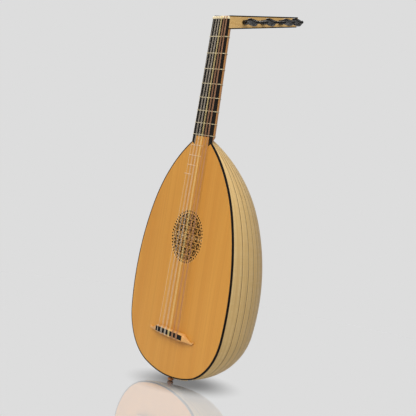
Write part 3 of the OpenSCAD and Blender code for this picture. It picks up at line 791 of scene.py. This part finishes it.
def binding():
    side, face = BIND_SIDE - 0.05, BIND_W - 0.02
    section = [(0.5, -0.04), (0.2, 0.04), (0.05, 0.2), (0, 0.5), (0, 3.1), (0.08, 3.4), (0.3, 3.48),
               (side, 2.1), (side, 1.0), (face, 0.95), (face, 0.1), (BIND_W - 0.12, -0.02),
               (BIND_W / 2, -0.05)]
    rings = []
    for k, h in [(0, 0.0)] + fine_stations(4.0):
        outline = [edge(k, h, inset) for inset, _ in section]
        rings.append([[x, y, z] for (x, z), (_, y) in zip(outline, section)])
    rings = [flip_x(ring) for ring in reversed(rings[1:])] + rings
    lofted_piece("board_binding", rings, M_BIND, "black_binding", ["edge_binding"], smooth=50)


binding()

# ---- Neck, fingerboard and nut

BOWL_END = edge(3, joint_stop(90))
HEEL_TOP, HEEL_BACK = JOINT_Z + 26, BOWL_END[1]


def neck_taper(at_joint, at_nut, z):
    return at_joint + (at_nut - at_joint) * (z - JOINT_Z) / (NUT_Z - JOINT_Z)


def neck_hw(z):
    return neck_taper(JOINT_HW, NUT_HW, z)


def plain_depth(z):
    return neck_taper(JOINT_DEPTH, NUT_DEPTH, z)


HEEL_RISE = BOWL_END[0] * BOWL - plain_depth(HEEL_BACK)


def neck_depth(z):
    return plain_depth(z) + HEEL_RISE * (max(0, HEEL_TOP - z) / (HEEL_TOP - HEEL_BACK)) ** 2


def neck_point(z, a, gap=0.0):
    return np.array([(neck_hw(z) + gap) * cos_d(a), BOARD_T + (neck_depth(z) - BOARD_T + gap) * sin_d(a), z])


def box_top(y):
    """Height of the pegbox's open top, y behind the soundboard's face: the pegbox leans back."""
    return NUT_Z + 6.3 + 0.178 * y


def box_back(y):
    return NUT_Z - 20 + 0.214 * y


def box_mid(y):
    return (box_top(y) + box_back(y)) / 2


def box_hw(y):
    return NUT_HW - 0.041 * (y - BOARD_T)


def foot_point(a):
    """The bowl's end against the neck at angle a, on the flats between its joint lines."""
    k = min(max(int((a - EDGE_A) // (rib_angle(2) - EDGE_A)) + 1, 1), RIBS - 2)
    ends = [bowl_point(3, joint_stop(rib_angle(q)), 0, rib_angle(q)) for q in (k, k + 1)]
    t = (a - rib_angle(k)) / (rib_angle(k + 1) - rib_angle(k))
    return ends[0] + (ends[1] - ends[0]) * t


def neck():
    angles = np.linspace(EDGE_A, 180 - EDGE_A, 49)

    def ring(z, front, points):
        return np.array([[neck_hw(z), BOARD_T, front], *points, [-neck_hw(z), BOARD_T, front]])

    def plain_ring(z):
        return ring(z, z, [neck_point(z, a) for a in angles])

    first = ring(JOINT_Z, JOINT_Z + JOINT_SLOPE * BOARD_T, [foot_point(a) for a in angles]) + [0, 0, 0.03]
    solid = plain_ring(HEEL_BACK + 3)
    rings = [first + (solid - first) * t for t in (0, 0.3, 0.6, 1)]
    rings += [plain_ring(z) for z in np.linspace(HEEL_BACK + 6, HEEL_TOP, 4)]
    rings += [plain_ring(z) for z in np.linspace(HEEL_TOP + 20, NUT_Z - 26, 14)]
    last = plain_ring(NUT_Z - 20)
    last[:, 2] = box_back(last[:, 1]) - 0.03
    lofted_piece("neck_shaft", rings + [last], M_NECK, "neck_wood", ["neck"], smooth=50)


neck()


board_piece("fingerboard_plate", [FINGERBOARD], M_EBONY, "ebony", "fingerboard", 0.25, 3)


def course_of(s):
    return 1 if s == 0 else (s - 1) // 2 + 2


def pair_shift(s):
    return 0 if s == 0 else PAIR if s % 2 == 0 else -PAIR


def string_r(s):
    return STRING_D[course_of(s) - 1] / 2


def nut_x(s):
    return NUT_SPREAD * ((course_of(s) - 1) / 5 - 0.5) + pair_shift(s)


def bridge_x(s):
    return BRIDGE_SPREAD * ((course_of(s) - 1) / 5 - 0.5) + COURSE_SHIFT + pair_shift(s) * 1.4


NUT_TOP = -1.5
SLOT = 1.15  # a nut slot's half width, in string radii


def nut():
    xs = set(np.round(np.linspace(-NUT_HW, NUT_HW, 107), 3))
    for s in range(11):
        for q in (-1.7, -1.1, -0.7, -0.35, 0, 0.35, 0.7, 1.1, 1.7):
            xs.add(round(nut_x(s) + string_r(s) * q, 3))
    rings = []
    for x in sorted(xs):
        dip = 0.0
        for s in range(11):
            q = abs(x - nut_x(s)) / string_r(s) / SLOT
            if q < 1:
                dip = max(dip, min(string_r(s) * math.sqrt(1 - q ** 2) * 0.55, 0.3))
        end = min(1.0, (NUT_HW - abs(x)) / 0.6)
        ease = 0.35 * (1 - math.sqrt(max(0, 1 - (1 - end) ** 2)))
        t = NUT_TOP + dip + ease
        section = [(t + 0.18, 0), (t, 0.25), (t, 3.4), (t + 0.25, 4.2 - ease), (t + 0.7, 4.65 - ease - dip),
                   (0.2 + dip * 0.5, 4.5 - ease - dip * 0.6), (1.0, 3.9 - ease),
                   (BOARD_T, 3.2 - ease), (BOARD_T, 0)]
        rings.append([[x, y, NUT_Z + up] for y, up in section])
    lofted_piece("bone_nut", rings, M_BONE, "bone", ["nut"], smooth=45)


nut()


# ---- Frets

def fret_z(n):
    return NUT_Z - STRING_LEN * (1 - 2 ** (-n / 12))


def fret(n):
    """Two turns of gut side by side, drawn up with a knot behind the treble side."""
    z0, d = fret_z(n), FRET_D[n - 1]
    r = d / 2
    gap = 0.35 if n == 8 else 0.25
    out = gap + r
    shape = Shape()
    for side in (-1, 1):
        z = z0 + side * (r + 0.02)
        hw = neck_hw(z)
        corner = [[hw + out * sin_d(t), -out * cos_d(t), z] for t in (25, 50, 75)] + [[hw + out, 0.5, z]]
        path = [[-hw * t, -out, z] for t in np.linspace(1, -1, 13)] + corner
        for a in np.arange(0, 181, 7.5):
            p = neck_point(z, a, out)
            path.append([p[0], max(p[1], 0.9), z])
        tube(shape, path + flip_x(corner[::-1]).tolist(), r, 10, n + side * 0.3, loop=True)
    knot_at = 152
    knot = neck_point(z0, knot_at, out + r * 0.6)
    tangent = neck_point(z0, knot_at + 2, out) - neck_point(z0, knot_at - 2, out)
    tangent /= np.linalg.norm(tangent)
    outward = np.cross([0, 0, 1.0], tangent)
    outward *= np.sign(outward.dot(knot - np.array([0, BOARD_T, z0])))

    def at_knot(along, out, up):
        """The point so many radii from the knot: along the fret, away from the neck and up the neck."""
        return knot + (tangent * along + outward * out + np.array([0, 0, up])) * r

    coil = [at_knot(q * 1.24 - 2.2, math.sin(q * 1.9) * 0.9, math.cos(q * 1.9) * 1.35)
            for q in np.linspace(0, 3.6, 30)]
    tube(shape, coil, r * 0.95, 8, n + 7)
    for side in (-1, 1):
        tail = [at_knot(side * a, b, side * c) for a, b, c in ((1.8, 1, 0), (4, 1.8, 2), (5.8, 1.9, 3.8))]
        tube(shape, smooth_path(tail, 4), [r * 0.95] * 8 + [r * 1.25], 8, n + 9)
    piece(f"tied_fret_{n}", shape, M_GUT, "gut", [f"fret_{n}"], body=f"fret_{n}", smooth=60)


for n in range(1, 9):
    fret(n)


def body_frets():
    shape = Shape()
    for n, (x0, x1) in enumerate([(-31, 5.5), (-34.5, 5.5), (-35.5, -8), (-41.5, -18)], 9):
        z = fret_z(n)
        rings = []
        for x, s in ((x0, 0.25), (x0 + 0.35, 0.8), (x0 + 0.9, 1),
                     (x1 - 0.9, 1), (x1 - 0.35, 0.8), (x1, 0.25)):
            half = 0.8 * (0.6 + 0.4 * s)
            rings.append([[x, -0.88 * s * sin_d(t), z + half * cos_d(t)] for t in np.linspace(0, 180, 9)])
        shape.loft(rings)
    piece("glued_frets", shape, M_FRET_WOOD, "fret_wood", ["body_frets"], smooth=40)


body_frets()

# ---- Bridge

WAIST = 0.72  # where a moustache is narrowest, in shares of its length


def bridge():
    """The block with its rebated top between two lips, and a moustache on each end."""
    shape = Shape()
    h, back, front = BRIDGE_H, BRIDGE_BACK, BRIDGE_Z
    groove_0, groove_1 = back + BRIDGE_LIP, front - BRIDGE_LIP
    rings = []
    for x, e in ((-BRIDGE_HW, 0.5), (-BRIDGE_HW + 0.15, 0.2), (-BRIDGE_HW + 0.5, 0), (0, 0),
                 (BRIDGE_HW - 0.5, 0), (BRIDGE_HW - 0.15, 0.2), (BRIDGE_HW, 0.5)):
        section = [(0.02, back + e - 0.2), (2, back + e), (h - 1.0 - e, back + 0.15 + e),
                   (h - 0.2 - e, back + 0.5 + e), (h - e, back + 1.0 + e), (h - e, groove_0 - 0.05),
                   (h - 1.0, groove_0), (h - 1.0, groove_1), (h - e, groove_1 + 0.05),
                   (h - e, front - 1.0 - e), (h - 0.2 - e, front - 0.45 - e), (h - 0.8 - e, front - 0.1 - e),
                   (0.02, front - e)]
        rings.append([[x + BRIDGE_SHIFT, -tall, z] for tall, z in section])
    shape.loft(rings)
    for side in (-1, 1):
        rings = []
        for t in np.linspace(0, 1, 57):
            x = BRIDGE_HW - 0.5 + (WING_LEN + 0.5) * t
            wide = BRIDGE_D - 0.7 - (BRIDGE_D - 4.1) * t / WAIST
            if t > WAIST:
                wide = 3.4 + 3.1 * ((t - WAIST) / (1 - WAIST)) ** 1.5
            low = back + 0.05 + 2.2 * smoothstep((t - 0.78) / 0.22) ** 1.3
            high = 3.6 + (BRIDGE_H - 4.5) * (1 - t) ** 2
            close = math.sqrt(max(0.0, 1 - max(0, (t - 0.95) / 0.05) ** 2))
            middle, half = (low + back + wide) / 2, max((back + wide - low) / 2 * (0.3 + 0.7 * close), 0.05)
            tall = max(high / 2 * close, 0.05)
            a = np.arange(28) * 2 * math.pi / 28
            c, q = [np.sign(v) * np.abs(v) ** 0.3 for v in (np.cos(a), np.sin(a))]
            y = -(high / 2 + 0.01 + tall * q)
            rings.append(np.stack([np.full(28, BRIDGE_SHIFT + side * x), y, middle + half * c], 1))
        shape.loft(rings)
    piece("bridge_block", shape, M_BRIDGE, "bridge_wood", ["bridge"], smooth=35)


bridge()
refined("bridge_top", "bridge_facing", M_FACING, 0.15)

# ---- Pegbox

for node, name, width in (("cheek_treble", "pegbox_cheek_treble", 0.35),
                          ("cheek_bass", "pegbox_cheek_bass", 0.35),
                          ("pegbox_floor", "pegbox_floor_plate", 0.2),
                          ("pegbox_block", "pegbox_head_block", 0.4),
                          ("pegbox_end", "pegbox_end_block", 0.5)):
    refined(name, node, M_BOX, width)
refined("pegbox_back_veneer", "pegbox_back", M_BIND, 0.35)
refined("cheek_edge_strips", "cheek_edging", M_BIND, 0.35)


def peg_y(i):
    return PEG_FIRST + (i - 1) * PEG_PITCH


def peg_side(i):
    return 1 if i % 2 == 1 else -1


def shaft_r(i, x):
    """The shaft's radius: 4.2 at the outside of the near cheek, and 1 less for each 60 towards the tip."""
    return 4.2 - (box_hw(peg_y(i)) - x) / 60


def at_peg(i, points, turn):
    """Peg coordinates, x along the shaft towards the head, to part coordinates."""
    p = np.array(points, float)
    c, s = cos_d(turn), sin_d(turn)
    y, z = p[..., 1] * c - p[..., 2] * s, p[..., 1] * s + p[..., 2] * c
    return np.stack([p[..., 0] * peg_side(i), y + peg_y(i), z + box_mid(peg_y(i))], -1)


# Head of a peg: distance from the cheek, half width of the thumb piece and half thickness.
PEG_HEAD = [(6.2, 4.3, 4.3), (6.8, 4.75, 4.75), (8.0, 4.85, 4.85), (9.0, 4.7, 4.7), (9.7, 4.1, 4.1),
            (10.8, 3.7, 3.7), (12.6, 3.6, 3.5), (14.2, 4.3, 3.4), (16.2, 6.0, 3.2), (18.5, 7.8, 2.95),
            (21.2, 9.1, 2.7), (24.5, 9.6, 2.6), (28.5, 9.5, 2.55), (32.0, 8.5, 2.6), (35.0, 6.8, 2.7),
            (37.4, 4.9, 2.7), (39.2, 3.1, 2.5), (40.2, 2.3, 2.2), (41.0, 2.6, 2.6), (42.0, 3.0, 3.0),
            (43.2, 2.85, 2.85), (44.2, 2.1, 2.1), (44.8, 1.1, 1.1), (45.0, 0.1, 0.1)]


def peg(i):
    hw = box_hw(peg_y(i))
    shape = Shape()
    sides = 40
    t = np.arange(sides) * 2 * math.pi / sides
    c, s = np.cos(t), np.sin(t)
    tip = shaft_r(i, -hw)
    shaft = [(0.35 - hw, tip - 0.8), (0.6 - hw, tip - 0.2), (1.0 - hw, shaft_r(i, 1 - hw))]
    shaft += [(x, shaft_r(i, x)) for x in (-hw / 2, 0, hw / 2, hw, hw + 5.5)]
    rings = []
    for x, w, k in [(x, r, r) for x, r in shaft] + [(hw + d, w, k) for d, w, k in PEG_HEAD]:
        flat = max(0.0, min(1.0, (w / k - 1) / 0.8))
        wide = w * np.sign(c) * np.abs(c) ** (1 - 0.1 * flat)
        thick = k * np.sign(s) * np.abs(s) ** (1 - 0.42 * flat) * (1 - 0.3 * flat * np.abs(s) ** 6)
        rings.append(np.stack([np.full(sides, x), wide, thick], 1))
    rings = at_peg(i, rings, PEG_TURNS[i - 1])
    shape.loft(rings, rings)
    piece(f"peg_{i:02d}_turned", shape, M_PEG, "ebony", [f"peg_{i:02d}"], body=f"peg_{i:02d}", smooth=42)


for i in range(1, 12):
    peg(i)

# ---- Strings

PLAIN_LOOK, WOUND_LOOK = (M_PLAIN, "plain_string"), (M_WOUND, "wound_string")
STRING_LOOKS = [PLAIN_LOOK, PLAIN_LOOK, PLAIN_LOOK, (M_YELLOW, "gut_string"), WOUND_LOOK, WOUND_LOOK]


def peg_x(s):
    y = peg_y(STRING_PEGS[s])
    return nut_x(s) * (box_hw(y) - CHEEK_T - 3) / (NUT_HW - CHEEK_T)


def string_run(shape, s):
    """From its hole in the bridge over the nut to the top of its peg, and the tie round the bridge."""
    r = string_r(s)
    bx, nx, px = bridge_x(s), nut_x(s), peg_x(s)
    i = STRING_PEGS[s]
    y = peg_y(i)
    lie = NUT_TOP - r * 0.62
    far = np.array([px, y, box_mid(y) + shaft_r(i, px * peg_side(i)) + r])
    bend = [[nx, lie, NUT_Z + 0.2], [nx, lie, NUT_Z + 3.2], [nx, lie + 0.12, NUT_Z + 4.0],
            [nx, lie + 0.5, NUT_Z + 4.65 + r * 0.5], [nx, lie + 1.2, NUT_Z + 4.85 + r]]
    turn = np.array(bend[-1])
    path = [[bx, STRING_Y, BRIDGE_Z - 3]]
    for t in np.linspace(0, 1, 25):
        path.append([bx + (nx - bx) * t, STRING_Y + (lie - STRING_Y) * t, BRIDGE_Z + 0.2 + STRING_LEN * t])
    path += smooth_path(bend, 3)[1:].tolist()
    path += [turn + (far - turn) * t for t in (0.25, 0.5, 0.75, 1.0)]
    tube(shape, path, r, 10, s * 1.3)
    # The tie goes over the back lip and forward across the top, round the string at the front edge, and back
    # beside itself. Each point says how far it is to the side, in shares of a distance, and its y and z.
    back, front, top = BRIDGE_BACK, BRIDGE_Z, -BRIDGE_H
    over = top - r - 0.03
    wide = r * 1.15 + 0.08
    loop_z = front + r * 0.75 + 0.02
    tie = [(0, STRING_Y, back + 2), (-0.3, STRING_Y, back - r - 0.1), (-1, top + 0.4, back - r * 0.7),
           (-1, over, back + 0.9), (-1, over, back + 4), (-1, over, front - 3.5), (-1, over, front - 1.2),
           (-0.9, top + 0.3, loop_z), (0, STRING_Y - r * 1.7, front + r + 0.5), (0.9, top + 0.3, loop_z),
           (1, over, front - 1.2), (1, over, front - 3.5), (1, over, back + 4), (1, over, back + 1.0),
           (1.2, top + 0.6, back - r * 0.6), (1.5, top + 1.8, back - r * 0.9)]
    path = smooth_path([[bx + wide * share, y, z] for share, y, z in tie], 3)
    tube(shape, path, r * 0.96, 8, s * 1.3 + 0.6)


def winding(s):
    r = string_r(s)
    i = STRING_PEGS[s]
    px, y = peg_x(s), peg_y(i)
    z = box_mid(y)
    way = -1 if s % 2 == 1 or s in (0, 10) else 1
    turns = 5.5
    path = []
    for t in np.linspace(0, turns, int(turns * 24)):
        x = px + way * t * r * 2.12
        reach = shaft_r(i, x * peg_side(i)) + r
        path.append([x, y + reach * sin_d(t * 360), z + reach * cos_d(t * 360)])
    shape = Shape()
    tube(shape, path, r * 0.98, 8, s + 0.4)
    piece(f"winding_{i:02d}", shape, *STRING_LOOKS[course_of(s) - 1], body=f"peg_{i:02d}", smooth=60)


for c in range(1, 7):
    shape = Shape()
    for s in range(11):
        if course_of(s) == c:
            string_run(shape, s)
    piece(f"strings_course_{c}", shape, *STRING_LOOKS[c - 1], [f"course_{c}"], smooth=60)
for s in range(11):
    winding(s)

# ---- Parts inside the body keep their CAD shapes

for node in ("soundboard_bars", "neck_block", "end_lining"):
    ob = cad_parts[node]
    for material_slot in ob.material_slots:
        material_slot.material = M_BARS
    if not ob.material_slots:
        ob.data.materials.append(M_BARS)

# ---- Camera, floor and light

AZ, EL, ROLL = 54.17, 3.32, 8.99
away = np.array([sin_d(AZ) * cos_d(EL), -cos_d(AZ) * cos_d(EL), sin_d(EL)])
level = np.array([cos_d(AZ), sin_d(AZ), 0.0])
upright = np.cross(away, level)
target = np.array([0, 0, 332.2]) + 31.5 * level
place = home(target + away * 2010)
right = level * cos_d(ROLL) + upright * sin_d(ROLL)
up = -level * sin_d(ROLL) + upright * cos_d(ROLL)
camera_data = bpy.data.cameras.new("camera")
camera_data.sensor_width = 36
camera_data.lens = 90.96
camera_data.clip_start, camera_data.clip_end = 0.02, 100
camera = add_object("camera", camera_data)
axes = Matrix([[*row] for row in np.stack([right, up, away], 1)]).to_4x4()
camera.matrix_world = Matrix.Translation(Vector(place)) @ axes
bpy.context.scene.camera = camera

BACKDROP = 0.723
MIRRORED = 0.45  # how bright the surroundings are in reflections
GLASS = 0.28  # the share of the floor's look that is its reflection
# The colour of the painted contact shadow on the floor under the lute.
SHADOW_DISC_TONE = 0.08


def make_floor():
    """A mirror of faint reflections, with a dark disc under the lute, a painted contact shadow that fades out
    between two radii.
    """
    n = Nodes("floor")
    length = n.new("VectorMath")
    length.operation = "LENGTH"
    n.feed(length.inputs[0], n.new("TexCoord").outputs["Object"])
    fade = n.range(length.outputs["Value"], 0.024, 0.122)
    fade.node.interpolation_type = "SMOOTHSTEP"
    n.done((SHADOW_DISC_TONE, SHADOW_DISC_TONE, SHADOW_DISC_TONE, 1), 0.9, Specular_IOR_Level=0.0)
    level = BACKDROP / MIRRORED
    gloss = n.new("BsdfGlossy", Roughness=0.035, Color=(level, level, level, 1))
    ground = n.new("MixShader", Fac=fade)
    n.feed(ground.inputs[1], n.shader.outputs[0])
    n.feed(ground.inputs[2], n.new("BsdfTransparent").outputs[0])
    both = n.new("MixShader", Fac=GLASS)
    n.feed(both.inputs[1], ground.outputs[0])
    n.feed(both.inputs[2], gloss.outputs[0])
    n.put(n.out, Surface=both.outputs[0])
    me = bpy.data.meshes.new("floor")
    ring = [(1.2 * cos_d(a), 1.2 * sin_d(a), 0) for a in range(0, 360, 5)]
    me.from_pydata(ring, [], [tuple(range(len(ring)))])
    me.materials.append(n.m)
    ob = add_object("floor", me)
    ob.location = (0.014, 35 * MM + HOME_Y, -0.0004)


make_floor()


def make_world():
    """Even surroundings: pale grey behind the lute, dimmer as light and in reflections."""
    world = bpy.data.worlds.new("studio")
    bpy.context.scene.world = world
    world.use_nodes = True
    tree = world.node_tree
    tree.nodes.clear()
    path = tree.nodes.new("ShaderNodeLightPath")
    last = None
    for level, ray in ((0.29, None), (MIRRORED, "Is Glossy Ray"), (BACKDROP, "Is Camera Ray")):
        shade = tree.nodes.new("ShaderNodeBackground")
        shade.inputs["Color"].default_value = (level, level, level, 1)
        if ray:
            mix = tree.nodes.new("ShaderNodeMixShader")
            tree.links.new(path.outputs[ray], mix.inputs["Fac"])
            tree.links.new(last, mix.inputs[1])
            tree.links.new(shade.outputs[0], mix.inputs[2])
            shade = mix
        last = shade.outputs[0]
    out = tree.nodes.new("ShaderNodeOutputWorld")
    tree.links.new(last, out.inputs["Surface"])


make_world()


def softbox(name, az, el, distance, size, power, aim_z=0.5):
    data = bpy.data.lights.new(name, "AREA")
    data.shape = "RECTANGLE"
    data.size, data.size_y = size
    data.energy = power
    ob = add_object(name, data)
    direction = Vector((sin_d(az) * cos_d(el), -cos_d(az) * cos_d(el), sin_d(el)))
    ob.location = Vector((0, 0, aim_z)) + direction * distance
    ob.rotation_euler = (-direction).to_track_quat("-Z", "Y").to_euler()


softbox("key", 20, 40, 3.6, (2.8, 2.4), 112)
softbox("side", 64, 40, 3.0, (1.6, 1.4), 27)
softbox("top", 95, 68, 2.6, (1.4, 1.4), 20, 0.4)
softbox("left", 262, 36, 3.0, (1.6, 1.4), 30)
bpy.context.scene.view_settings.view_transform = "Standard"
